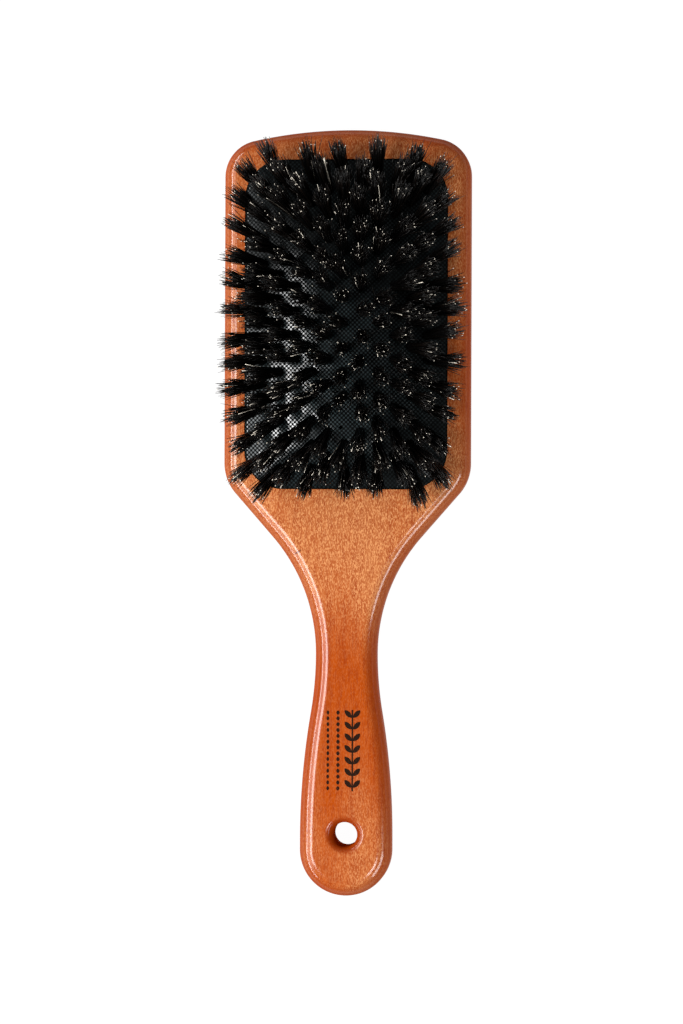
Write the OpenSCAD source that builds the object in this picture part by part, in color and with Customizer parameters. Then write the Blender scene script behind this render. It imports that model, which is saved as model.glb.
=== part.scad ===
// Vanity paddle hairbrush: a lacquered wooden paddle, a rubber air cushion held in a
// groove by its rim, boar bristle tufts pushed through the cushion, and the wire
// staple that each folded tuft is looped over on the cushion's underside.
//
// Millimetres. Z = 0 is the flat back of the paddle and +Z is the bristle side.
// +Y runs from the handle to the head, +X runs across. The origin is midway along
// the brush, on its centre line. The brush is the same left and right.

/* [Paddle] */
// Length of the brush over the head and the handle
brush_len = 250; // [246:1:256]
// Width of the head
head_w = 80.7; // [80:0.1:84]
// Thickness of the wood
wood_t = 14; // [13:0.5:16]
// Radius that rounds both edges of the wood
edge_r = 5; // [3:0.5:5.5]
// Radius of the crowned top end
crown_r = 147; // [120:1:200]
// Radius of the two top corners
corner_r = 12; // [8:0.5:16]
// Radius of the shoulders, where the head turns into the neck
shoulder_r = 15; // [12:0.5:18]

/* [Handle] */
// Width of the neck at its narrowest
neck_w = 19.9; // [18:0.1:22]
// Width of the grip near its end
grip_w = 30; // [28:0.5:32]
// Radius of the sweep from the shoulder to the neck
neck_r = 58; // [54:1:60]
// Diameter of the hanging hole
hang_d = 8.1; // [6:0.1:9]
// Radius that rounds the two mouths of the hanging hole
hang_round_r = 2.4; // [1.5:0.1:3]

/* [Cushion] */
// Width of the opening that the cushion fills
pad_w = 66.4; // [65:0.1:68]
// Length of the opening
pad_len = 107.4; // [106:0.1:109]
// Corner radius of the opening
pad_corner_r = 12.7; // [11:0.1:14]
// Height of the cushion's crown above its rim
pad_rise = 5.5; // [4:0.1:6.5]
// Thickness of the rubber
rubber_t = 1.6; // [1.2:0.1:1.8]
// Depth of the routed air pocket under the cushion
pocket_depth = 8; // [7:0.5:9]

/* [Bristles] */
// Distance between columns of tufts
column_pitch = 5.3; // [5:0.1:5.4]
// Distance between tufts in one column
row_pitch = 7.8; // [7.4:0.1:7.9]
// Length of a tuft above the rubber
tuft_len = 18; // [14:0.5:20]
// Diameter of a tuft where it leaves the rubber
tuft_root_d = 2.0; // [1.6:0.1:2.2]
// Diameter of a tuft across its splayed tips
tuft_tip_d = 3.8; // [3:0.1:4.2]
// Sideways lean of the outermost columns, in degrees
lean_side = 40; // [20:1:42]
// Endways lean of the outermost rows, in degrees
lean_end = 34; // [15:1:36]
// Diameter of the staple wire
wire_d = 0.5; // [0.4:0.05:0.6]
// Length of one staple
staple_len = 3.6; // [3:0.1:4]

/* [Hidden] */
$fn = 64;

wood_color = "peru";
rubber_color = [0.10, 0.11, 0.12];
bristle_color = [0.16, 0.13, 0.11];
wire_color = "silver";

// --- Paddle outline: tangent arcs down the right-hand half, from the top to the end ---
top_c = [0, brush_len / 2 - crown_r];
corner_x = head_w / 2 - corner_r;
corner_c = [corner_x, top_c.y + sqrt(pow(crown_r - corner_r, 2) - pow(corner_x, 2))];
corner_turn = atan2(corner_c.y - top_c.y, corner_c.x);

shoulder_y = 16.2;      // where the straight side of the head ends
neck_y = -46;           // where the neck is narrowest
shoulder_c = [head_w / 2 - shoulder_r, shoulder_y];
neck_c = [neck_w / 2 + neck_r, neck_y];
// The straight stretch between shoulder and neck is the two arcs' inner tangent.
centre_line = neck_c - shoulder_c;
centre_slope = atan2(-centre_line.y, centre_line.x);
shoulder_turn = centre_slope - acos((shoulder_r + neck_r) / norm(centre_line));

grip_r = grip_w / 2;
end_c = [0, grip_r - brush_len / 2];
grip_y = end_c.y + 4;   // where the grip reaches its full width
flare_drop = neck_y - grip_y;
flare_out = (grip_w - neck_w) / 2;
flare_turn = 2 * atan(flare_out / flare_drop);
flare_r = 0.32 * flare_drop / sin(flare_turn);
swell_r = 0.68 * flare_drop / sin(flare_turn);
flare_c = [neck_w / 2 + flare_r, neck_y];
swell_c = [grip_r - swell_r, grip_y];

edge_steps = 6;         // facets across each rounded edge

// Points of an arc about c, from angle a0 to a1, in n steps.
function arc(c, r, a0, a1, n) =
    [for (i = [0:n]) let (a = a0 + (a1 - a0) * i / n) c + r * [cos(a), sin(a)]];

// Right-hand half of the outline, moved inwards by inset, from the top to the end.
function half_outline(inset) = concat(
    arc(top_c, crown_r - inset, 90, corner_turn, 5),
    arc(corner_c, corner_r - inset, corner_turn, 0, 8),
    arc(shoulder_c, shoulder_r - inset, 0, -shoulder_turn, 6),
    arc(neck_c, neck_r + inset, 180 - shoulder_turn, 180, 9),
    arc(flare_c, flare_r + inset, 180 + flare_turn / 3, 180 + flare_turn, 2),
    arc(swell_c, swell_r - inset, flare_turn * 3 / 4, 0, 3),
    arc(end_c, grip_r - inset, 0, -90, 10)
);

// The whole outline at one inset, as 3-D points at height z.
function outline_ring(inset, z) = let (
    right = half_outline(inset),
    last = len(right) - 1
) [
    for (p = right) [p.x, p.y, z],
    for (i = [last - 1:-1:1]) [-right[i].x, right[i].y, z]
];

// The rounded edge as [inset, depth under the face], from the side wall to the face and
// one step past it, so that the face itself is one true plane.
edge_arc = [
    for (k = [0:edge_steps]) let (a = 90 * k / edge_steps)
        edge_r * [1 - cos(a), 1 - sin(a)]
];
edge_profile = concat(edge_arc, [2 * edge_arc[edge_steps] - edge_arc[edge_steps - 1]]);

module rounded_paddle() {
    levels = [
        for (k = [edge_steps + 1:-1:0]) [edge_profile[k][0], edge_profile[k][1]],
        for (p = edge_profile) [p[0], wood_t - p[1]]
    ];
    rings = [for (l = levels) outline_ring(l[0], l[1])];
    n = len(rings[0]);
    top = len(rings) - 1;
    intersection() {
        polyhedron(
            points = [for (ring = rings) each ring],
            faces = concat(
                [[for (i = [n - 1:-1:0]) i]],
                [[for (i = [0:n - 1]) top * n + i]],
                [for (k = [0:top - 1]) for (i = [0:n - 1]) let (j = (i + 1) % n)
                    [k * n + i, k * n + j, (k + 1) * n + j, (k + 1) * n + i]]
            )
        );
        translate([-head_w, -brush_len, 0]) cube([2 * head_w, 2 * brush_len, wood_t]);
    }
}

// A rectangle with true round corners, grown by g on every side.
module rounded_rect(g) {
    w = pad_w + 2 * g;
    l = pad_len + 2 * g;
    r = pad_corner_r + g;
    square([w - 2 * r, l], center = true);
    square([w, l - 2 * r], center = true);
    for (sx = [-1, 1], sy = [-1, 1])
        translate([sx * (w / 2 - r), sy * (l / 2 - r)]) circle(r);
}

// --- Cushion ---
pad_y = 61.4;                       // centre of the cushion along the brush
lip_t = 2.2;                        // wood above the groove
groove_h = 1.8;
groove_reach = 2.0;                 // how far the groove runs under the wood
fit_gap = 0.05;                     // rubber to wood at the opening
rim_z = wood_t - 0.3;               // height of the cushion's rim
pocket_z = wood_t - pocket_depth;
flange_gap = 0.1;                   // rubber flange to the groove's three walls
flange_z = wood_t - lip_t - groove_h + flange_gap;
flange_h = groove_h - 2 * flange_gap;
half_w = pad_w / 2 - fit_gap;
half_l = pad_len / 2 - fit_gap;
end_rise = 1.64 * pad_rise;         // the lengthwise arc would rise this far at the middle

// Radius of an arc that rises by rise over half a chord.
function arc_radius(half_chord, rise) = (pow(half_chord, 2) + pow(rise, 2)) / (2 * rise);
// Height of such an arc above its ends, at a distance from the middle of its chord.
function arc_height(r, rise, at) = sqrt(pow(r, 2) - pow(at, 2)) - (r - rise);

side_r = arc_radius(half_w, pad_rise);
end_r = arc_radius(half_l, end_rise);

vent_d = 1.2;
vent_at = [-1, -33.7];              // measured from the cushion's centre

// Height of the rubber's surface above its rim, at a place measured from its centre.
// One arc crowns it across, and a flatter one brings it down at its two ends.
function crown_at(p) =
    min(arc_height(side_r, pad_rise, abs(p.x)), arc_height(end_r, end_rise, abs(p.y)));

// Everything under the crown's surface, t inside it.
module under_crown(t) {
    span = 2 * brush_len;
    intersection() {
        translate([0, 0, rim_z + pad_rise - side_r]) rotate([90, 0, 0])
            cylinder(r = side_r - t, h = span, center = true, $fn = 128);
        translate([0, 0, rim_z + end_rise - end_r]) rotate([0, 90, 0])
            cylinder(r = end_r - t, h = span, center = true, $fn = 128);
    }
}

// --- Tufts ---
last_column = 5;
rings = 6;                          // 1 is the outermost
root_tail = 0.8;                    // folded end of a tuft below its staple
grip_gap = 0.1;                     // rubber to tuft, at the root
wire_gap = 0.02;                    // staple to the tuft folded round it
staple_gap = 0.08;                  // staple to the rubber above it

// Even columns hold 13 tufts and odd columns 12, set half a pitch between them.
// The tuft beside the vent hole is left out.
tuft_sites = [
    for (c = [-last_column:last_column])
        let (odd = abs(c) % 2)
            for (r = [-6:6 - odd])
                if (!(c == 0 && r == -4)) [c * column_pitch, (r + odd / 2) * row_pitch]
];

// Tufts that stand on rubber of one height move together, so they share a ring. The
// height is turned into the distance from the middle at which the crosswise arc has it.
function same_height_x(p) =
    sqrt(max(0, pow(side_r, 2) - pow(crown_at(p) + side_r - pad_rise, 2)));
function ring_of(p) = rings - round(same_height_x(p) / column_pitch);

// The tufts fan out: evenly across, and mostly near the two ends lengthwise. The rows at
// the ends lean less to the side than those in the middle.
end_row = 6 * row_pitch;
end_calm = 0.45;                    // share of the sideways lean that the end rows lose
function lean_x(p) =
    lean_side * p.x / (last_column * column_pitch) * (1 - end_calm * pow(p.y / end_row, 2));
function lean_y(p) = lean_end * sign(p.y) * pow(abs(p.y) / end_row, 1.5);
function lean_dir(p) = let (v = [tan(lean_x(p)), tan(lean_y(p)), 1]) v / norm(v);

// Moves its children to the rubber's surface at a tuft, with +Z along the tuft.
module at_tuft(p) {
    u = lean_dir(p);
    translate([p.x, pad_y + p.y, rim_z + crown_at(p)])
        rotate([0, acos(u.z), atan2(u.y, u.x)]) children();
}

function on_side_arc(p) =
    arc_height(side_r, pad_rise, abs(p.x)) <= arc_height(end_r, end_rise, abs(p.y));
function rubber_slope(p) = on_side_arc(p) ? asin(abs(p.x) / side_r) : asin(abs(p.y) / end_r);

// Depth of a staple's centre under the rubber's surface, straight down.
function staple_drop(p) = rubber_t / cos(rubber_slope(p)) + wire_d / 2 + staple_gap;

// One staple, level, and square to the way the rubber slopes there.
module staple_wire(p, d) {
    u = lean_dir(p);
    drop = staple_drop(p);
    translate([
        p.x - u.x / u.z * drop,
        pad_y + p.y - u.y / u.z * drop,
        rim_z + crown_at(p) - drop
    ])
        rotate(on_side_arc(p) ? [90, 0, 0] : [0, 90, 0])
            cylinder(d = d, h = staple_len, center = true, $fn = 24);
}

module tuft(p) {
    u = lean_dir(p);
    root = (staple_drop(p) + root_tail) / u.z;
    difference() {
        at_tuft(p) {
            translate([0, 0, -root]) cylinder(d = tuft_root_d, h = root, $fn = 24);
            cylinder(d1 = tuft_root_d, d2 = tuft_tip_d, h = tuft_len, $fn = 24);
        }
        staple_wire(p, wire_d + 2 * wire_gap);
    }
}

module tuft_ring(k) {
    color(bristle_color)
        for (p = tuft_sites) if (ring_of(p) == k) tuft(p);
}

module staple_ring(k) {
    color(wire_color)
        for (p = tuft_sites) if (ring_of(p) == k) staple_wire(p, wire_d);
}

module cushion_pad() {
    color(rubber_color)
        difference() {
            translate([0, pad_y, 0]) {
                intersection() {
                    translate([0, 0, flange_z])
                        linear_extrude(wood_t) rounded_rect(-fit_gap);
                    under_crown(0);
                }
                translate([0, 0, flange_z])
                    linear_extrude(flange_h) rounded_rect(groove_reach - flange_gap);
            }
            translate([0, pad_y, 0]) intersection() {
                translate([0, 0, flange_z - 1])
                    linear_extrude(wood_t) rounded_rect(-fit_gap - rubber_t);
                under_crown(rubber_t);
            }
            for (p = tuft_sites)
                at_tuft(p)
                    cylinder(d = tuft_root_d + 2 * grip_gap, h = 12, center = true, $fn = 24);
            translate([vent_at.x, pad_y + vent_at.y, rim_z])
                cylinder(d = vent_d, h = 4 * pad_rise, center = true, $fn = 24);
        }
}

// --- Wooden paddle ---
hang_y = -104.8;
mouth_lift = 0.05;                  // so that the rounding crosses the face at a clear angle

// The hanging hole with its two rounded mouths, as one turned shape.
module hang_hole() {
    r = hang_d / 2;
    reach = r + hang_round_r;
    low = hang_round_r - mouth_lift;
    translate([0, hang_y, 0]) rotate_extrude($fn = 64) difference() {
        translate([0, -mouth_lift])
            square([reach, wood_t + 2 * mouth_lift]);
        translate([r, low]) square([hang_round_r, wood_t - 2 * low]);
        for (y = [low, wood_t - low])
            translate([reach, y]) circle(hang_round_r, $fn = 48);
    }
}

module wooden_body() {
    color(wood_color)
        difference() {
            rounded_paddle();
            translate([0, pad_y, pocket_z])
                linear_extrude(pocket_depth + 1) rounded_rect(0);
            translate([0, pad_y, wood_t - lip_t - groove_h])
                linear_extrude(groove_h) rounded_rect(groove_reach);
            hang_hole();
        }
}

module tuft_ring_1() { tuft_ring(1); }
module tuft_ring_2() { tuft_ring(2); }
module tuft_ring_3() { tuft_ring(3); }
module tuft_ring_4() { tuft_ring(4); }
module tuft_ring_5() { tuft_ring(5); }
module tuft_ring_6() { tuft_ring(6); }
module staple_ring_1() { staple_ring(1); }
module staple_ring_2() { staple_ring(2); }
module staple_ring_3() { staple_ring(3); }
module staple_ring_4() { staple_ring(4); }
module staple_ring_5() { staple_ring(5); }
module staple_ring_6() { staple_ring(6); }

wooden_body();
cushion_pad();
tuft_ring_1();
tuft_ring_2();
tuft_ring_3();
tuft_ring_4();
tuft_ring_5();
tuft_ring_6();
staple_ring_1();
staple_ring_2();
staple_ring_3();
staple_ring_4();
staple_ring_5();
staple_ring_6();
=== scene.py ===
"""Vanity paddle hairbrush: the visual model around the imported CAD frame.

Metres, in the CAD frame: Z = 0 is the flat back, +Z is the bristle side, +Y runs from
the grip to the head and +X runs across. The origin is midway along the brush.
"""
import math

import bmesh
import bpy
import numpy as np
from mathutils import Matrix, Vector


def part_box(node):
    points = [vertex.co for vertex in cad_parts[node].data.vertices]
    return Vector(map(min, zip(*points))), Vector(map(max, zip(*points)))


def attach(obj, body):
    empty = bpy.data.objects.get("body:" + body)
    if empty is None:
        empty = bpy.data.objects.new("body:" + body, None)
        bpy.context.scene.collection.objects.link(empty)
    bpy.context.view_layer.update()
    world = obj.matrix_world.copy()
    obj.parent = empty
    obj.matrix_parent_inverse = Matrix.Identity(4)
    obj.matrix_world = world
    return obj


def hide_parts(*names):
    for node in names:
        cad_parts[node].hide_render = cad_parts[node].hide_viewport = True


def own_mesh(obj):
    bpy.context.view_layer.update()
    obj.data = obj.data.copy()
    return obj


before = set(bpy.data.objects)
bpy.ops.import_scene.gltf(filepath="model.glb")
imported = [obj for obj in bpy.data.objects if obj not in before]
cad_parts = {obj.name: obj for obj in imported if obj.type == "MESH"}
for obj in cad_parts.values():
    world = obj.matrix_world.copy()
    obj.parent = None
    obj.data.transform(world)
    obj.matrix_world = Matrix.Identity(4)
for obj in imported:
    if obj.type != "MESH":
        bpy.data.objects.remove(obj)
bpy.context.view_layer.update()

MM = 0.001

# ---------------------------------------------------------------- sizes from the frame
_, wood_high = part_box("wooden_body")
pad_low, pad_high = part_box("cushion_pad")
WOOD_TOP = wood_high.z
HALF_LENGTH = wood_high.y
HEAD_HALF = wood_high.x
PAD_Y = (pad_low.y + pad_high.y) / 2

# ---------------------------------------------------------------- driving dimensions
# The paddle: its rounded edge, and the arcs of its outline from the head to the grip.
EDGE_R = 5 * MM
CROWN_R = 147 * MM
CORNER_R = 12 * MM
SHOULDER_R = 15 * MM
SHOULDER_Y = 16.2 * MM
NECK_HALF = 9.95 * MM
NECK_R = 58 * MM
NECK_Y = -46 * MM
GRIP_R = 15 * MM
GRIP_RISE = 4 * MM
FLARE_SHARE = 0.32
# The hanging hole and the rounding of its mouth.
HANG_Y = -104.8 * MM
HANG_R = 4.05 * MM
HANG_ROUND_R = 2.4 * MM

# The cushion, and the pocket and groove that hold it.
PAD_HALF = (33.2 * MM, 53.7 * MM)
PAD_CORNER_R = 12.7 * MM
POCKET_DEPTH = 8 * MM
POCKET_EASE = 0.25 * MM
LIP_T = 2.2 * MM
GROOVE_H = 1.8 * MM
GROOVE_REACH = 2 * MM
GROOVE_TOP = WOOD_TOP - LIP_T
GROOVE_LOW = GROOVE_TOP - GROOVE_H
RIM_Z = WOOD_TOP - 0.3 * MM
RUBBER_T = 1.6 * MM
PAD_GAP = 0.08 * MM
FLANGE_GAP = 0.1 * MM
FLANGE_TOP = RIM_Z - 1.3 * MM
PAD_RISE = pad_high.z - RIM_Z
END_RISE = 1.64 * PAD_RISE
VENT_R = 0.6 * MM
VENT_AT = (-1 * MM, PAD_Y - 33.7 * MM)

# The staggered grid of tufts, and how far the outermost ones lean. The vent hole takes
# the place of one tuft, at this column and row.
COLUMN_PITCH = 5.3 * MM
ROW_PITCH = 7.8 * MM
LAST_COLUMN = 5
LAST_ROW = 6
VENT_SITE = (0, -4)
RINGS = 6
TUFT_LENGTH = 18 * MM
LEAN_SIDE = math.radians(40)
LEAN_END = math.radians(34)
END_CALM = 0.45

# The hairs of one tuft.
BRISTLES = 112
BRISTLE_R = 0.16 * MM
BRISTLE_SIDES = 3
BRISTLE_RINGS = 7
ROOT_R = 1.35 * MM
ROOT_SINK = 1.2 * MM
TIP_R = 2.8 * MM
UNEVEN = math.radians(3.5)
STRAY = 0.55 * MM
DROOP = 0.16
# Hairs with a tint above this are flagged: they end wide, with a pale tip that is partly tan
# and partly a painted glint.
FLAGGED = 0.90
TUFT_SEED = 40

# The printed border on the grip.
BORDER_TOP = -64.0 * MM
BORDER_BOTTOM = -90.5 * MM
INK_T = 0.03 * MM


# ---------------------------------------------------------------- camera and light
def look_at(thing, target):
    """Points a camera or a lamp at a place."""
    direction = Vector(target) - thing.location
    thing.rotation_mode = "QUATERNION"
    thing.rotation_quaternion = direction.to_track_quat("-Z", "Y")


def add_camera():
    """A camera over the bristle side, a little to the right, with +Y up in the picture."""
    sensor, lens, near_clip = 36, 111.35, 0.05
    distance = 1.03
    tilt = math.radians(6)
    roll = math.radians(-0.2)
    target = Vector((-1.2 * MM, 0.3 * MM, WOOD_TOP))
    data = bpy.data.cameras.new("camera")
    data.sensor_width = sensor
    data.lens = lens
    data.clip_start = near_clip
    camera = bpy.data.objects.new("camera", data)
    camera.location = target + distance * Vector((math.sin(tilt), 0, math.cos(tilt)))
    back = (camera.location - target).normalized()
    up = Vector((math.sin(roll), math.cos(roll), 0))
    right = up.cross(back).normalized()
    up = back.cross(right)
    camera.matrix_world = Matrix.Translation(camera.location) @ Matrix(
        (right, up, back)
    ).transposed().to_4x4()
    bpy.context.scene.collection.objects.link(camera)
    bpy.context.scene.camera = camera


def add_lamp(name, azimuth, zenith, size, radiance):
    """A soft lamp a metre away: its compass angle, its angle off vertical, its two sides."""
    azimuth, zenith = math.radians(azimuth), math.radians(zenith)
    level, upright = size
    data = bpy.data.lights.new(name, "AREA")
    data.shape = "RECTANGLE"
    data.size = level
    data.size_y = upright
    data.energy = radiance * math.pi * level * upright
    lamp = bpy.data.objects.new(name, data)
    lamp.location = (
        math.sin(zenith) * math.cos(azimuth), math.sin(zenith) * math.sin(azimuth),
        math.cos(zenith),
    )
    look_at(lamp, (0, 0, 0))
    bpy.context.scene.collection.objects.link(lamp)


def add_studio():
    """A white floor, a dim even surround, three soft lamps on the left and two on the right."""
    scene = bpy.context.scene
    scene.view_settings.view_transform = "Standard"
    world = bpy.data.worlds.new("studio")
    world.use_nodes = True
    surround = world.node_tree.nodes["Background"]
    surround.inputs["Color"].default_value = (1, 1, 1, 1)
    surround.inputs["Strength"].default_value = 0.08
    scene.world = world
    add_lamp("left_strip", azimuth=178, zenith=58, size=(2.0, 0.12), radiance=15)
    add_lamp("left_glow", azimuth=178, zenith=43, size=(1.2, 0.26), radiance=3.0)
    add_lamp("key", azimuth=195, zenith=27, size=(0.50, 0.25), radiance=14)
    add_lamp("fill", azimuth=-60, zenith=27, size=(0.2, 0.2), radiance=14)
    add_lamp("right_strip", azimuth=-36, zenith=57, size=(0.60, 0.24), radiance=9.5)

    half, floor_z = 2.5, -0.15 * MM
    corners = [(-half, -half), (half, -half), (half, half), (-half, half)]
    mesh = bpy.data.meshes.new("floor")
    mesh.from_pydata([(x, y, floor_z) for x, y in corners], [], [(0, 1, 2, 3)])
    floor = bpy.data.objects.new("floor", mesh)
    scene.collection.objects.link(floor)
    mesh.materials.append(floor_white())


# ---------------------------------------------------------------- material helpers
def new_material(name):
    """An empty node material, and its node tree."""
    material = bpy.data.materials.new(name)
    material.use_nodes = True
    material.node_tree.nodes.clear()
    return material, material.node_tree


def node(tree, kind, inputs=None, **settings):
    """One node. Inputs are given by name or number, as values or as other sockets."""
    made = tree.nodes.new(kind)
    for key, value in settings.items():
        setattr(made, key, value)
    for key, value in (inputs or {}).items():
        if isinstance(value, bpy.types.NodeSocket):
            tree.links.new(value, made.inputs[key])
        else:
            made.inputs[key].default_value = value
    return made


def principled(tree, inputs):
    """A Principled shader joined to the output."""
    shader = node(tree, "ShaderNodeBsdfPrincipled", inputs)
    out = node(tree, "ShaderNodeOutputMaterial")
    tree.links.new(shader.outputs["BSDF"], out.inputs["Surface"])


def maths(tree, operation, a, b=0.0, clamp=False):
    """The result of one arithmetic operation."""
    made = node(tree, "ShaderNodeMath", {0: a, 1: b}, operation=operation)
    made.use_clamp = clamp
    return made.outputs[0]


def span(tree, value, low, high, to_low=0.0, to_high=1.0):
    """A value's place between low and high, smoothed, and mapped to another range."""
    inputs = {"Value": value, 1: low, 2: high, 3: to_low, 4: to_high}
    made = node(tree, "ShaderNodeMapRange", inputs, interpolation_type="SMOOTHSTEP")
    return made.outputs["Result"]


def mix(tree, share, a, b):
    """Colour a, with a share of colour b. The colour sockets are known only by number."""
    return node(tree, "ShaderNodeMix", {0: share, 6: a, 7: b}, data_type="RGBA").outputs[2]


def place(tree, scale):
    """Object coordinates, stretched by a scale for each axis."""
    where = node(tree, "ShaderNodeTexCoord").outputs["Object"]
    return node(tree, "ShaderNodeMapping", {"Vector": where, "Scale": scale}).outputs[0]


def noise(tree, scale, detail=3.0, roughness=0.5, distortion=0.0):
    """Noise from 0 to 1 with a number of waves a metre for each axis."""
    inputs = {
        "Vector": place(tree, scale), "Scale": 1.0, "Detail": detail,
        "Roughness": roughness, "Distortion": distortion,
    }
    return node(tree, "ShaderNodeTexNoise", inputs).outputs["Fac"]


def bump(tree, height, distance, strength, normal=None):
    """A surface normal from a height, laid over another normal where one is given."""
    inputs = {"Height": height, "Distance": distance, "Strength": strength}
    if normal is not None:
        inputs["Normal"] = normal
    return node(tree, "ShaderNodeBump", inputs).outputs["Normal"]


def metres_from(tree, where, centre):
    """How far a place is from a centre."""
    inputs = {0: where, 1: centre}
    return node(tree, "ShaderNodeVectorMath", inputs, operation="DISTANCE").outputs["Value"]


# ---------------------------------------------------------------- materials
WOOD_LIGHT = (0.470, 0.160, 0.052, 1)
WOOD_MIDDLE = (0.395, 0.058, 0.000, 1)
WOOD_DEEP = (0.240, 0.021, 0.000, 1)
WOOD_FLECK = (0.750, 0.335, 0.130, 1)
WOOD_NICK = (0.110, 0.010, 0.001, 1)
WOOD_BORE = (0.300, 0.035, 0.001, 1)
RUBBER_DARK = (0.0010, 0.0015, 0.0017, 1)
RUBBER_PALE = (0.030, 0.052, 0.057, 1)
# Rows of nubs are half of this apart, and every other row is shifted by half of it.
NUB_PITCH = 1.4 * MM


def floor_white():
    """A white floor that shines by itself, so that it shows almost no shadow."""
    material, tree = new_material("floor_white")
    principled(tree, {
        "Base Color": (0.05, 0.05, 0.05, 1),
        "Roughness": 0.9,
        "Specular IOR Level": 0.1,
        "Emission Color": (1, 1, 1, 1),
        "Emission Strength": 0.98,
    })
    return material


def stain_and_painted_light(tree, along, level, flecks):
    """The wood's colour with painted sheen and painted shade, from the place along the brush,
    how level the face is, and flecks.
    """
    broad = noise(tree, (30, 9, 30), detail=3, distortion=0.5)
    streaks = noise(tree, (380, 14, 380), detail=5, roughness=0.62)
    fibres = noise(tree, (2500, 180, 2500), detail=3, roughness=0.65)

    # Painted sheen makes the colour lighter round each shoulder and at the end of the grip,
    # over a broad random tone.
    painted_shoulder_sheen = maths(tree, "MULTIPLY", span(tree, along, -58 * MM, -14 * MM, 0, 0.60),
                      span(tree, along, 2 * MM, 40 * MM, 1.0, 0.42))
    end = span(tree, along, -86 * MM, -112 * MM, 0, 0.20)
    painted_sheen_and_tone = maths(tree, "ADD", maths(tree, "MAXIMUM", painted_shoulder_sheen, end),
                  span(tree, broad, 0.30, 0.70, -0.12, 0.34), clamp=True)
    colour = mix(tree, painted_sheen_and_tone, WOOD_MIDDLE, WOOD_LIGHT)

    # Dark streaks and fibres run along the grain, with fine pale flecks between them.
    colour = mix(tree, span(tree, streaks, 0.46, 0.72, 0, 0.45), colour, WOOD_DEEP)
    colour = mix(tree, span(tree, fibres, 0.44, 0.64, 0, 0.55), colour, WOOD_DEEP)
    # The pale flecks are strongest within the painted sheen.
    glints = maths(tree, "MULTIPLY", span(tree, flecks, 0.46, 0.62),
                   span(tree, painted_sheen_and_tone, 0, 0.7, 0.12, 0.76))
    glints = maths(tree, "MULTIPLY", glints, span(tree, level, 0.4, 0.95, 0.35, 1))
    colour = mix(tree, glints, colour, WOOD_FLECK)

    # Painted shade: the colour is deeper across the top of the head and where the edges are
    # rounded over.
    colour = mix(tree, span(tree, along, 112 * MM, 122 * MM, 0, 0.25), colour, WOOD_DEEP)
    return mix(tree, span(tree, level, 0.995, 0.80, 0, 0.40), colour, WOOD_DEEP)


def nicked(tree, where, colour):
    """The same colour with a short dark nick in the top face, beside the left shoulder."""
    nick = node(tree, "ShaderNodeMapping", {
        "Vector": where, "Location": (-15.4 * MM, -12.8 * MM, WOOD_TOP),
        "Rotation": (0, 0, math.radians(32)), "Scale": (1.5 * MM, 0.36 * MM, 2 * MM),
    }, vector_type="TEXTURE")
    inside = span(tree, metres_from(tree, nick.outputs[0], (0, 0, 0)), 1.1, 0.6, 0, 0.85)
    return mix(tree, inside, colour, WOOD_NICK)


def lacquered_wood():
    """Orange-brown stained wood under a gloss lacquer, with its grain along Y."""
    material, tree = new_material("lacquered_wood")
    where = node(tree, "ShaderNodeTexCoord").outputs["Object"]
    along = node(tree, "ShaderNodeSeparateXYZ", {0: where}).outputs["Y"]
    facing = node(tree, "ShaderNodeNewGeometry").outputs["Normal"]
    upward = node(tree, "ShaderNodeSeparateXYZ", {0: facing}).outputs["Z"]
    level = maths(tree, "ABSOLUTE", upward)
    flecks = noise(tree, (3900, 1250, 3900), detail=2, roughness=0.6)
    colour = nicked(tree, where, stain_and_painted_light(tree, along, level, flecks))

    # Inside the hanging hole the wood is bare of lacquer and darker, partly its raw colour and
    # partly painted shade; painted shade also darkens the rounding round its mouth.
    flat = node(tree, "ShaderNodeVectorMath", {0: where, 1: (1, 1, 0)}, operation="MULTIPLY")
    off_hole = metres_from(tree, flat.outputs[0], (0, HANG_Y, 0))
    mouth = span(tree, off_hole, HANG_R + 3.0 * MM, HANG_R + 1.0 * MM, 0, 0.6)
    bore = span(tree, off_hole, HANG_R + 0.9 * MM, HANG_R + 0.1 * MM)
    colour = mix(tree, bore, mix(tree, mouth, colour, WOOD_DEEP), WOOD_BORE)
    coated = span(tree, maths(tree, "MAXIMUM", mouth, bore), 0, 1, 1, 0)
    coated = maths(tree, "MULTIPLY", span(tree, level, 0.50, 0.88, 0.12, 0.95), coated)

    wear = noise(tree, (160, 90, 160), detail=4)
    ripple = noise(tree, (130, 60, 130), detail=3)
    dimples = noise(tree, (800, 500, 800), detail=2)
    film = bump(tree, dimples, 0.015 * MM, 0.5, bump(tree, ripple, 0.12 * MM, 0.5))
    principled(tree, {
        "Base Color": colour,
        "Roughness": span(tree, wear, 0.3, 0.7, 0.42, 0.55),
        "Specular IOR Level": 0.0,
        "Normal": bump(tree, flecks, 0.05 * MM, 0.5),
        "Coat Weight": coated,
        "Coat Roughness": 0.15,
        "Coat Normal": film,
    })
    return material


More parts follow.
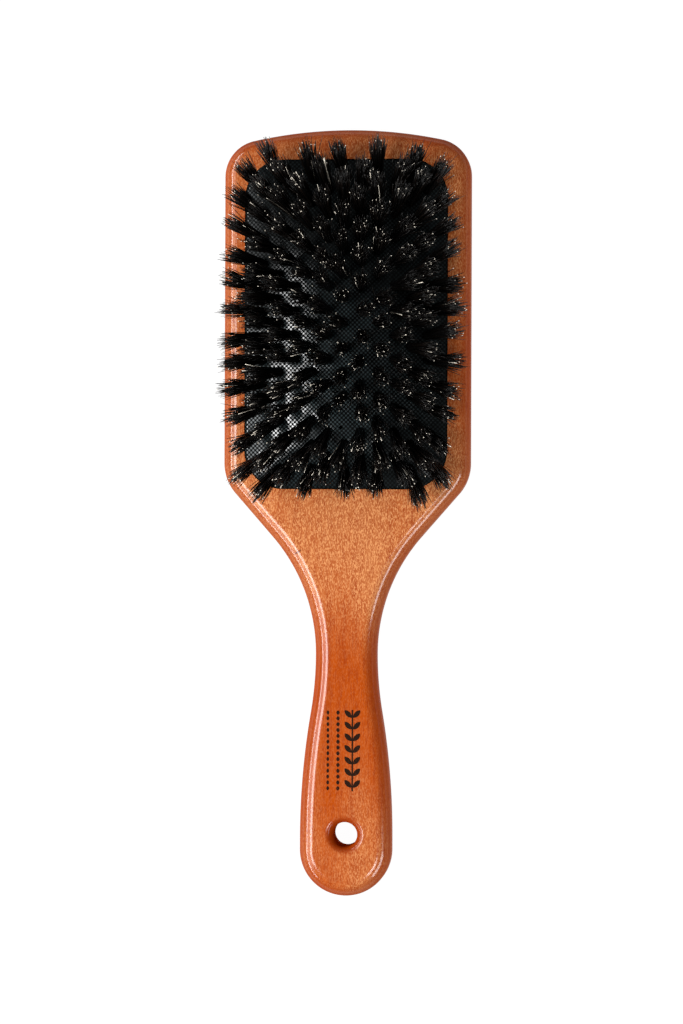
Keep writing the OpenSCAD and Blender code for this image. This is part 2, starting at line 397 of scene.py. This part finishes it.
def embossed_rubber():
    """Matt black rubber with a fine staggered lattice of glossy raised nubs."""
    material, tree = new_material("embossed_rubber")
    where = node(tree, "ShaderNodeTexCoord").outputs["Object"]
    parts = node(tree, "ShaderNodeSeparateXYZ", {0: where})
    turn = 2 * math.pi / NUB_PITCH
    across = maths(tree, "COSINE", maths(tree, "MULTIPLY", parts.outputs["X"], turn))
    along = maths(tree, "COSINE", maths(tree, "MULTIPLY", parts.outputs["Y"], turn))
    nub = span(tree, maths(tree, "MULTIPLY", across, along), -0.10, 0.45)

    # Painted sheen: the nubs are made lighter, and coated, most a little left of the cushion's
    # lower middle and least at its rim; dust varies them.
    dust = noise(tree, (90, 70, 90), detail=4)
    off_painted_sheen = metres_from(tree, where, (-11 * MM, PAD_Y - 18 * MM, RIM_Z))
    nubs_dust_and_painted_sheen = maths(tree, "MULTIPLY", nub, span(tree, dust, 0.30, 0.65, 0.6, 1.0))
    nubs_dust_and_painted_sheen = maths(tree, "MULTIPLY", nubs_dust_and_painted_sheen, span(tree, off_painted_sheen, 15 * MM, 44 * MM, 1.0, 0.20))
    principled(tree, {
        "Base Color": mix(tree, nubs_dust_and_painted_sheen, RUBBER_DARK, RUBBER_PALE),
        "Roughness": span(tree, dust, 0.3, 0.7, 0.62, 0.80),
        "Normal": bump(tree, nub, 0.03 * MM, 0.5),
        "Specular IOR Level": 0.08,
        "Coat Weight": nubs_dust_and_painted_sheen,
        "Coat IOR": 2.0,
        "Coat Roughness": 0.15,
    })
    return material


def boar_bristle():
    """Near-black hair with a brown cast; some hairs turn a near-white tan towards the tip,
    partly real tan and partly painted glint.
    """
    material, tree = new_material("boar_bristle")
    along = node(tree, "ShaderNodeAttribute", attribute_name="along").outputs["Fac"]
    tint = node(tree, "ShaderNodeAttribute", attribute_name="tint").outputs["Fac"]
    black = (0.0022, 0.0020, 0.0020, 1)
    brown = (0.010, 0.006, 0.004, 1)
    tan = (0.95, 0.87, 0.73, 1)
    colour = mix(tree, span(tree, tint, 0.3, 1.0, 0, 0.7), black, brown)
    # The near-white tips, and the few whole pale hairs, are partly the hair's tan and partly
    # painted glints.
    flagged = span(tree, tint, FLAGGED, FLAGGED + 0.04)
    tipped = maths(tree, "MULTIPLY", span(tree, along, 0.978, 0.992), flagged)
    whole = span(tree, tint, 0.990, 0.992)
    colour = mix(tree, maths(tree, "MAXIMUM", tipped, whole), colour, tan)
    scales = noise(tree, (3000, 3000, 3000), detail=2)
    principled(tree, {
        "Base Color": colour,
        "Roughness": span(tree, scales, 0.3, 0.7, 0.30, 0.46),
        "Specular IOR Level": 0.28,
        "Normal": bump(tree, scales, 0.01 * MM, 0.3),
    })
    return material


def drawn_wire():
    """Bright steel wire with fine drawing marks."""
    material, tree = new_material("drawn_wire")
    dull = (0.50, 0.50, 0.49, 1)
    bright = (0.66, 0.65, 0.63, 1)
    marks = noise(tree, (6000, 6000, 900), detail=3)
    principled(tree, {
        "Base Color": mix(tree, span(tree, marks, 0.35, 0.7), dull, bright),
        "Metallic": 1.0,
        "Roughness": span(tree, marks, 0.3, 0.7, 0.22, 0.42),
        "Normal": bump(tree, marks, 0.01 * MM, 0.3),
    })
    return material


def dark_ink():
    """Brown-black printing ink, slightly thin in places."""
    material, tree = new_material("dark_ink")
    full = (0.014, 0.005, 0.002, 1)
    thin = (0.07, 0.018, 0.004, 1)
    worn = noise(tree, (1600, 1600, 1600), detail=4)
    principled(tree, {
        "Base Color": mix(tree, span(tree, worn, 0.55, 0.8), full, thin),
        "Roughness": span(tree, worn, 0.3, 0.7, 0.45, 0.6),
        "Specular IOR Level": 0.05,
    })
    return material


# ---------------------------------------------------------------- mesh helpers
def arc(centre, radius, start, end, steps):
    """Points along an arc, with its angles in radians."""
    a = np.linspace(start, end, steps + 1)
    return np.stack([centre[0] + radius * np.cos(a), centre[1] + radius * np.sin(a)], 1)


def straight(start, end, steps):
    """Points between two places, without the places themselves."""
    t = np.linspace(0, 1, steps + 1)[1:-1, None]
    return np.array(start) * (1 - t) + np.array(end) * t


def rounded_rect(half, radius, corner_steps=12, side_steps=(40, 60)):
    """A rectangle with round corners about the origin, as a closed loop of points."""
    w, h = half
    corners = [(w - radius, h - radius, 0), (radius - w, h - radius, 1),
               (radius - w, radius - h, 2), (w - radius, radius - h, 3)]
    loops = []
    for x, y, quarter in corners:
        start = quarter * math.pi / 2
        loops.append(arc((x, y), radius, start, start + math.pi / 2, corner_steps))
    points = []
    for i, piece in enumerate(loops):
        after = loops[(i + 1) % 4]
        points += [piece, straight(piece[-1], after[0], side_steps[i % 2])]
    return np.concatenate(points)


class Shell:
    """A closed surface made of loops of equal length that are bridged in pairs."""

    def __init__(self):
        self.points = []
        self.faces = []
        self.count = 0

    def loop(self, flat, z):
        """Adds a loop of flat points at height z, and returns its vertex numbers."""
        z = np.broadcast_to(np.asarray(z, float), len(flat))
        self.points.append(np.column_stack([flat, z]))
        numbers = np.arange(self.count, self.count + len(flat))
        self.count += len(flat)
        return numbers

    def bridge(self, a, b):
        """Joins two loops with a band of four-sided faces."""
        for i in range(len(a)):
            j = (i + 1) % len(a)
            self.faces.append((a[i], a[j], b[j], b[i]))

    def stack(self, loops):
        """Bridges each loop to the next one."""
        for a, b in zip(loops, loops[1:]):
            self.bridge(a, b)

    def mesh(self, name, fills=()):
        """The finished mesh. Each fill is a group of loops round one flat face."""
        made = bmesh.new()
        verts = [made.verts.new(p) for p in np.concatenate(self.points)]
        for face in self.faces:
            made.faces.new([verts[i] for i in face])
        for group in fills:
            edges = []
            for numbers in group:
                for i, a in enumerate(numbers):
                    b = numbers[(i + 1) % len(numbers)]
                    edge = made.edges.get((verts[a], verts[b]))
                    edges.append(edge or made.edges.new((verts[a], verts[b])))
            bmesh.ops.triangle_fill(made, use_beauty=True, edges=edges)
        bmesh.ops.recalc_face_normals(made, faces=made.faces)
        mesh = bpy.data.meshes.new(name)
        made.to_mesh(mesh)
        made.free()
        return mesh


def add_piece(name, mesh, material, body, stands_for=(), sharp=40):
    """Links a mesh as a smooth-shaded piece that rides on a CAD body."""
    piece = bpy.data.objects.new(name, mesh)
    bpy.context.scene.collection.objects.link(piece)
    mesh.materials.append(material)
    mesh.shade_smooth()
    if sharp:
        mesh.set_sharp_from_angle(angle=math.radians(sharp))
    if stands_for:
        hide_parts(*stands_for)
    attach(piece, body)
    return piece


def cut_round_hole(piece, at, radius):
    """Cuts a round hole straight down through a piece."""
    tool = bmesh.new()
    bmesh.ops.create_cone(tool, cap_ends=True, segments=32, radius1=radius, radius2=radius,
                          depth=4 * WOOD_TOP)
    mesh = bpy.data.meshes.new("cutter")
    tool.to_mesh(mesh)
    tool.free()
    cutter = bpy.data.objects.new("cutter", mesh)
    cutter.location = (at[0], at[1], WOOD_TOP)
    bpy.context.scene.collection.objects.link(cutter)
    cut = piece.modifiers.new("hole", "BOOLEAN")
    cut.operation = "DIFFERENCE"
    cut.solver = "EXACT"
    cut.object = cutter
    view = bpy.context.evaluated_depsgraph_get()
    piece.data = bpy.data.meshes.new_from_object(piece.evaluated_get(view))
    piece.modifiers.remove(cut)
    bpy.data.objects.remove(cutter)


def quarter_round(radius, steps):
    """A rounded edge as (distance in from the wall, distance under the face)."""
    a = np.linspace(0, math.pi / 2, steps + 1)
    return np.stack([radius * (1 - np.cos(a)), radius * (1 - np.sin(a))], 1)


# ---------------------------------------------------------------- wooden paddle
def half_outline(inset):
    """The right-hand side of the paddle, moved in by inset, from its top to its end."""
    top = (0, HALF_LENGTH - CROWN_R)
    corner_x = HEAD_HALF - CORNER_R
    corner_y = top[1] + math.sqrt((CROWN_R - CORNER_R) ** 2 - corner_x**2)
    corner_turn = math.atan2(corner_y - top[1], corner_x)
    shoulder = (HEAD_HALF - SHOULDER_R, SHOULDER_Y)
    neck = (NECK_HALF + NECK_R, NECK_Y)
    run = (neck[0] - shoulder[0], shoulder[1] - neck[1])
    turn = math.atan2(run[1], run[0]) - math.acos((SHOULDER_R + NECK_R) / math.hypot(*run))
    end = (0, GRIP_R - HALF_LENGTH)
    grip_y = end[1] + GRIP_RISE
    drop = NECK_Y - grip_y
    flare_turn = 2 * math.atan((GRIP_R - NECK_HALF) / drop)
    flare_r = FLARE_SHARE * drop / math.sin(flare_turn)
    swell_r = (1 - FLARE_SHARE) * drop / math.sin(flare_turn)

    side = HEAD_HALF - inset
    shoulder_arc = arc(shoulder, SHOULDER_R - inset, 0, -turn, steps=16)
    neck_arc = arc(neck, NECK_R + inset, math.pi - turn, math.pi, steps=40)
    return np.concatenate([
        arc(top, CROWN_R - inset, math.pi / 2, corner_turn, steps=24),
        arc((corner_x, corner_y), CORNER_R - inset, corner_turn, 0, steps=18)[1:],
        straight((side, corner_y), (side, SHOULDER_Y), steps=60),
        shoulder_arc,
        straight(shoulder_arc[-1], neck_arc[0], steps=10),
        neck_arc,
        arc((NECK_HALF + flare_r, NECK_Y), flare_r + inset, math.pi, math.pi + flare_turn,
            steps=12)[1:],
        arc((GRIP_R - swell_r, grip_y), swell_r - inset, flare_turn, 0, steps=24)[1:],
        arc(end, GRIP_R - inset, 0, -math.pi / 2, steps=28),
    ])


def outline(inset):
    """The whole outline of the paddle, moved in by inset, as a closed loop."""
    right = half_outline(inset)
    left = right[-2:0:-1] * (-1, 1)
    return np.concatenate([right, left])


def pocket_profile():
    """The pocket's wall from its eased mouth to its floor, as (distance out, height)."""
    mouth = quarter_round(POCKET_EASE, steps=3)[::-1]
    steps = [(POCKET_EASE - i, WOOD_TOP - depth) for i, depth in mouth]
    steps += [(0, GROOVE_TOP), (GROOVE_REACH, GROOVE_TOP), (GROOVE_REACH, GROOVE_LOW)]
    return steps + [(0, GROOVE_LOW), (0, WOOD_TOP - POCKET_DEPTH)]


def pad_loops(shell, steps):
    """Loops round the cushion's outline, for steps given as (distance out, height)."""
    loops = []
    for out, z in steps:
        flat = rounded_rect((PAD_HALF[0] + out, PAD_HALF[1] + out), PAD_CORNER_R + out)
        loops.append(shell.loop(flat + (0, PAD_Y), z))
    return loops


def add_paddle():
    """The paddle with its rounded edges, air pocket, groove and hanging hole."""
    shell = Shell()
    edge = quarter_round(EDGE_R, steps=14)
    side = [shell.loop(outline(i), depth) for i, depth in edge[::-1]]
    side += [shell.loop(outline(i), WOOD_TOP - depth) for i, depth in edge]
    shell.stack(side)

    pocket = pad_loops(shell, pocket_profile())
    shell.stack(pocket)

    mouth = quarter_round(HANG_ROUND_R, steps=8)
    hole_profile = [(HANG_R + i, WOOD_TOP - depth) for i, depth in mouth[::-1]]
    hole_profile += [(HANG_R + i, depth) for i, depth in mouth]
    hole = []
    for radius, z in hole_profile:
        ring = arc((0, HANG_Y), radius, 0, 2 * math.pi, steps=72)[:-1]
        hole.append(shell.loop(ring, z))
    shell.stack(hole)

    # The flat faces: the top round the pocket and the hole, the back, and the pocket's floor.
    fills = [(side[-1], pocket[0], hole[0]), (side[0], hole[-1]), (pocket[-1],)]
    mesh = shell.mesh("paddle_wood", fills)
    paddle = add_piece("paddle_wood", mesh, lacquered_wood(), "paddle",
                       ["wooden_body"])
    weigh = paddle.modifiers.new("flat_faces", "WEIGHTED_NORMAL")
    weigh.keep_sharp = True


# ---------------------------------------------------------------- rubber cushion
def arc_radius(half_chord, rise):
    """Radius of an arc, from half its chord and its height."""
    return (half_chord**2 + rise**2) / (2 * rise)


def arc_height(radius, rise, at):
    """Height of an arc above its ends, at a distance from the middle of its chord."""
    return np.sqrt(np.maximum(radius**2 - at**2, 0)) - (radius - rise)


# The two arcs that crown the rubber, across and along, end just inside its outline.
ARC_INSET = 0.05 * MM
SIDE_R = arc_radius(PAD_HALF[0] - ARC_INSET, PAD_RISE)
END_R = arc_radius(PAD_HALF[1] - ARC_INSET, END_RISE)


def crown_height(x, y):
    """Height of the rubber above its rim; y is measured from the cushion's centre."""
    side = arc_height(SIDE_R, PAD_RISE, np.abs(x))
    end = arc_height(END_R, END_RISE, np.abs(y))
    # The ridge where the two arcs meet is softened over this difference in height.
    soft = 0.9 * MM
    near = np.maximum(soft - np.abs(side - end), 0) / soft
    return np.minimum(side, end) - near**2 * soft / 4


def tuft_sites():
    """Each tuft's place across and along the cushion, in a fixed order."""
    sites = []
    for column in range(-LAST_COLUMN, LAST_COLUMN + 1):
        odd = abs(column) % 2
        for row in range(-LAST_ROW, LAST_ROW + 1 - odd):
            if (column, row) != VENT_SITE:
                sites.append((column * COLUMN_PITCH, (row + odd / 2) * ROW_PITCH))
    return sites


def edge_distance(x, y):
    """Distance in from the cushion's outline; y is measured from its centre."""
    qx = np.abs(x) - (PAD_HALF[0] - PAD_CORNER_R)
    qy = np.abs(y) - (PAD_HALF[1] - PAD_CORNER_R)
    outside = np.hypot(np.maximum(qx, 0), np.maximum(qy, 0))
    return PAD_CORNER_R - outside - np.minimum(np.maximum(qx, qy), 0)


def rubber_surface(x, y):
    """Height of the cushion's visible surface, with its soft edge and tuft dimples."""
    roll, edge_drop, edge_rise = 1.4 * MM, 0.55 * MM, 0.75 * MM
    dimple_depth, dimple_r = 0.22 * MM, 1.5 * MM
    inward = np.clip(edge_distance(x, y) / roll, 0, 1)
    z = RIM_Z + crown_height(x, y) - edge_drop + edge_rise * np.sqrt(1 - (1 - inward) ** 2)
    for tuft_x, tuft_y in tuft_sites():
        near = np.hypot(x - tuft_x, y - tuft_y)
        z = z - dimple_depth * np.exp(-((near / dimple_r) ** 2))
    return z


def pad_rows():
    """Rows across the cushion: even in the middle, closing up round the corners."""
    middle_rows, corner_rows = 190, 45
    level = PAD_HALF[1] - PAD_GAP - PAD_CORNER_R
    middle = np.linspace(-level, level, middle_rows)
    turn = np.linspace(0, math.pi / 2, corner_rows + 1)[1:]
    corner = level + PAD_CORNER_R * np.sin(turn)
    return np.concatenate([-corner[::-1], middle, corner])


def pad_grid():
    """The cushion's grid of places (row, column), which closes up towards its sides."""
    y = pad_rows()
    past = np.maximum(np.abs(y) - (PAD_HALF[1] - PAD_GAP - PAD_CORNER_R), 0)
    width = PAD_HALF[0] - PAD_GAP - PAD_CORNER_R
    width = width + np.sqrt(np.maximum(PAD_CORNER_R**2 - past**2, 0))
    columns, closing = 171, 0.86
    sweep = math.pi / 2 * closing
    across = np.sin(np.linspace(-1, 1, columns) * sweep) / math.sin(sweep)
    x = width[:, None] * across[None, :]
    return x, np.broadcast_to(y[:, None], x.shape)


def add_crown(rubber):
    """The crowned rubber skin with its vent hole."""
    x, y = pad_grid()
    top = rubber_surface(x, y)
    rows, columns = x.shape
    points = np.concatenate([
        np.stack([x, y + PAD_Y, top], 2).reshape(-1, 3),
        np.stack([x, y + PAD_Y, top - RUBBER_T], 2).reshape(-1, 3),
    ])
    number = np.arange(rows * columns).reshape(rows, columns)
    quads = np.stack([number[:-1, :-1], number[:-1, 1:], number[1:, 1:], number[1:, :-1]], 2)
    quads = quads.reshape(-1, 4)
    low = quads[:, ::-1] + rows * columns
    rim = np.concatenate([number[0, :-1], number[:-1, -1], number[-1, :0:-1], number[:0:-1, 0]])
    after = np.roll(rim, -1)
    wall = np.stack([rim, rim + rows * columns, after + rows * columns, after], 1)
    mesh = bpy.data.meshes.new("cushion_pad_rubber")
    mesh.from_pydata(points.tolist(), [], np.concatenate([quads, low, wall]).tolist())
    mesh.validate()
    crown = add_piece("cushion_crown", mesh, rubber, "paddle",
                      ["cushion_pad"], sharp=60)
    cut_round_hole(crown, VENT_AT, VENT_R)
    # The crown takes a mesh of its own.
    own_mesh(crown)


def add_flange(rubber):
    """The flange round the rubber's rim, which the groove holds."""
    high = GROOVE_TOP - FLANGE_GAP
    low = GROOVE_LOW + FLANGE_GAP
    reach = GROOVE_REACH - FLANGE_GAP
    inner = -(RUBBER_T + PAD_GAP)
    shell = Shell()
    loops = pad_loops(shell, [
        (-PAD_GAP, FLANGE_TOP), (-PAD_GAP, high), (reach, high),
        (reach, low), (inner, low), (inner, FLANGE_TOP),
    ])
    shell.stack(loops + loops[:1])
    add_piece("cushion_flange", shell.mesh("cushion_flange"), rubber, "paddle",
              ["cushion_pad"])


# ---------------------------------------------------------------- bristle tufts
def ring_of(x, y):
    """The CAD ring that a tuft belongs to, by the height of the rubber under it."""
    height = min(arc_height(SIDE_R, PAD_RISE, abs(x)), arc_height(END_R, END_RISE, abs(y)))
    same = math.sqrt(max(0, SIDE_R**2 - (height + SIDE_R - PAD_RISE) ** 2))
    return RINGS - round(same / COLUMN_PITCH)


def lean_of(x, y):
    """Unit direction of the tuft at a site."""
    endwise = abs(y) / (LAST_ROW * ROW_PITCH)
    lean_x = LEAN_SIDE * x / (LAST_COLUMN * COLUMN_PITCH) * (1 - END_CALM * endwise**2)
    lean_y = LEAN_END * math.copysign(endwise**1.5, y)
    return Vector((math.tan(lean_x), math.tan(lean_y), 1)).normalized()


def tuft_points(site, rng):
    """All the bristles of one tuft: points (bristle, ring, side, 3) and their tints."""
    x, y = site
    lean = np.array(lean_of(x, y)) + np.append(rng.normal(0, UNEVEN, 2), 0)
    lean /= np.linalg.norm(lean)
    root = np.array([x, y + PAD_Y, float(rubber_surface(np.array(x), np.array(y)))])
    turn = rng.uniform(0, 2 * math.pi)
    # Two directions across the tuft, turned by chance, and never along its lean.
    e1 = np.cross(lean, [math.cos(turn), math.sin(turn), 0.01])
    e1 /= np.linalg.norm(e1)
    e2 = np.cross(lean, e1)

    # Each hair's place in the bundle, at its root and at its tip.
    spread = np.sqrt(rng.uniform(0, 1, BRISTLES))
    angle = rng.uniform(0, 2 * math.pi, BRISTLES)
    radial = np.cos(angle)[:, None] * e1 + np.sin(angle)[:, None] * e2
    at_root = ROOT_R * spread
    at_tip = TIP_R * spread * rng.uniform(0.75, 1.2, BRISTLES)

    # The outer tufts are slightly longer. One hair in ten is short, and a few stray far.
    outer_gain, ragged = 0.06, 0.20
    short_share, short_scale = 0.10, 0.84
    far_share, far_scale = 0.06, 3.0
    outer = 1 + outer_gain * (x / (LAST_COLUMN * COLUMN_PITCH)) ** 2
    length = TUFT_LENGTH * outer * (1.0 - ragged * rng.uniform(0, 1, BRISTLES) ** 1.4)
    length *= np.where(rng.uniform(0, 1, BRISTLES) < short_share, short_scale, 1.0)
    stray = rng.normal(0, STRAY, (BRISTLES, 2))
    stray *= np.where(rng.uniform(0, 1, BRISTLES) < far_share, far_scale, 1.0)[:, None]
    stray = stray[:, :1] * e1 + stray[:, 1:] * e2

    # The hairs' middle lines (bristle, ring, 3) start inside the rubber and droop outwards.
    t = np.linspace(0, 1, BRISTLE_RINGS)
    up = np.array([0, 0, 1.0])
    sideways = lean - up * lean[2]
    reach = (length + ROOT_SINK)[:, None, None]
    outward = ((1 - DROOP) * t + DROOP * t**2)[None, :, None]
    fan = at_root[:, None] + (at_tip - at_root)[:, None] * t[None, :] ** 1.25
    axis = (
        root
        + (-ROOT_SINK + t[None, :, None] * reach) * up * lean[2]
        + outward * reach * sideways
        - ROOT_SINK * sideways
        + radial[:, None, :] * fan[:, :, None]
        + stray[:, None, :] * (t**2)[None, :, None]
    )

    # A hair thins by a fifth on its way up; at the tip it is pointed, or wide if flagged.
    thinning, tip_start, wide_tip, pointed_tip = 0.2, 0.9, 0.8, 0.4
    thick = BRISTLE_R * rng.uniform(0.8, 1.15, BRISTLES)
    tint = rng.uniform(0, 1, BRISTLES)
    tip = np.where(tint > FLAGGED, wide_tip, pointed_tip)
    taper = np.where(t[None, :] < tip_start, 1 - thinning * t[None, :], tip[:, None])
    corner = np.arange(BRISTLE_SIDES) * 2 * math.pi / BRISTLE_SIDES
    around = np.cos(corner)[:, None] * e1 + np.sin(corner)[:, None] * e2
    size = thick[:, None] * taper
    points = axis[:, :, None, :] + size[:, :, None, None] * around[None, None, :, :]
    return points, tint, t


def bristle_mesh(name, sites, seed):
    """One mesh of closed, tapered hairs for a ring of tufts."""
    rng = np.random.default_rng(seed)
    points, tints, along, faces, count = [], [], [], [], 0
    side = np.arange(BRISTLE_SIDES)
    after = np.roll(side, -1)
    per = BRISTLE_RINGS * BRISTLE_SIDES
    strip = np.stack([side, after, after + BRISTLE_SIDES, side + BRISTLE_SIDES], 1)
    hair = [row for k in range(BRISTLE_RINGS - 1) for row in strip + BRISTLE_SIDES * k]
    hair += [side[::-1], side + per - BRISTLE_SIDES]
    for site in sites:
        tuft, tint, t = tuft_points(site, rng)
        points.append(tuft.reshape(-1, 3))
        tints.append(np.repeat(tint, per))
        along.append(np.tile(np.repeat(t, BRISTLE_SIDES), BRISTLES))
        for _ in range(BRISTLES):
            faces += [(face + count).tolist() for face in hair]
            count += per
    mesh = bpy.data.meshes.new(name)
    mesh.from_pydata(np.concatenate(points).tolist(), [], faces)
    for key, values in (("tint", tints), ("along", along)):
        layer = mesh.attributes.new(key, "FLOAT", "POINT")
        layer.data.foreach_set("value", np.concatenate(values).astype(np.float32))
    return mesh


def add_tufts():
    """The bristles, one piece for each ring of tufts that moves together."""
    hair = boar_bristle()
    for ring in range(1, RINGS + 1):
        sites = [s for s in tuft_sites() if ring_of(*s) == ring]
        name = f"bristles_ring_{ring}"
        mesh = bristle_mesh(name, sites, seed=TUFT_SEED + ring)
        add_piece(name, mesh, hair, f"tufts_{ring}",
                  [f"tuft_ring_{ring}"], sharp=0)


def finish_staples():
    """The CAD staples keep their shape and take a drawn wire finish."""
    wire = drawn_wire()
    for ring in range(1, RINGS + 1):
        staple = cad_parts[f"staple_ring_{ring}"]
        staple.data.materials.clear()
        staple.data.materials.append(wire)


# ---------------------------------------------------------------- printed ornament
def leaf(cx, cy, length, width, lean=0.0):
    """A pointed oval about a centre, turned by lean, as a loop of flat points."""
    t = np.linspace(0, 2 * math.pi, 21)[:-1]
    x = 0.5 * width * np.sin(t) * np.abs(np.sin(t)) ** 0.6
    y = 0.5 * length * np.cos(t)
    c, s = math.cos(lean), math.sin(lean)
    return np.stack([cx + c * x - s * y, cy + s * x + c * y], 1)


def bar(cx, cy, width, length):
    """A rectangle about a centre, as a loop of flat points."""
    w, h = width / 2, length / 2
    corners = [(-w, -h), (w, -h), (w, h), (-w, h)]
    return np.array([(cx + x, cy + y) for x, y in corners])


def border_shapes():
    """A stem with pairs of leaves, and two rows of small marks beside it."""
    run = BORDER_TOP - BORDER_BOTTOM
    stem_x, stem_width, pairs = 2.6 * MM, 0.5 * MM, 7
    leaf_off, leaf_length, leaf_width, leaf_lean = 1.4 * MM, 3.3 * MM, 1.6 * MM, 0.75
    marks, mark_length = 14, 1.45 * MM
    mark_rows = ((-2.1 * MM, 1.1 * MM), (-5.4 * MM, 0.9 * MM))
    shapes = [bar(stem_x, (BORDER_TOP + BORDER_BOTTOM) / 2, stem_width, run)]
    for i in range(pairs):
        y = BORDER_BOTTOM + (i + 0.35) * run / pairs + 1.1 * MM
        for side in (-1, 1):
            x = stem_x + side * leaf_off
            shapes.append(leaf(x, y, leaf_length, leaf_width, -side * leaf_lean))
    for x, mark_width in mark_rows:
        for i in range(marks):
            y = BORDER_BOTTOM + (i + 0.5) * run / marks
            shapes.append(leaf(x, y, mark_length, mark_width))
    return shapes


def add_ornament():
    """A plain leaf border printed along the grip: no lettering, and no known mark."""
    points, faces, count = [], [], 0
    for flat in border_shapes():
        n = len(flat)
        for z in (WOOD_TOP - INK_T, WOOD_TOP + INK_T):
            points.append(np.column_stack([flat, np.full(n, z)]))
        low = list(range(count, count + n))
        high = list(range(count + n, count + 2 * n))
        faces += [low[::-1], high]
        faces += [(low[i], low[(i + 1) % n], high[(i + 1) % n], high[i]) for i in range(n)]
        count += 2 * n
    mesh = bpy.data.meshes.new("grip_ornament")
    mesh.from_pydata(np.concatenate(points).tolist(), [], faces)
    add_piece("grip_ornament", mesh, dark_ink(), "paddle")


# ---------------------------------------------------------------- build
add_camera()
add_studio()
add_paddle()
rubber = embossed_rubber()
add_crown(rubber)
add_flange(rubber)
add_tufts()
finish_staples()
add_ornament()
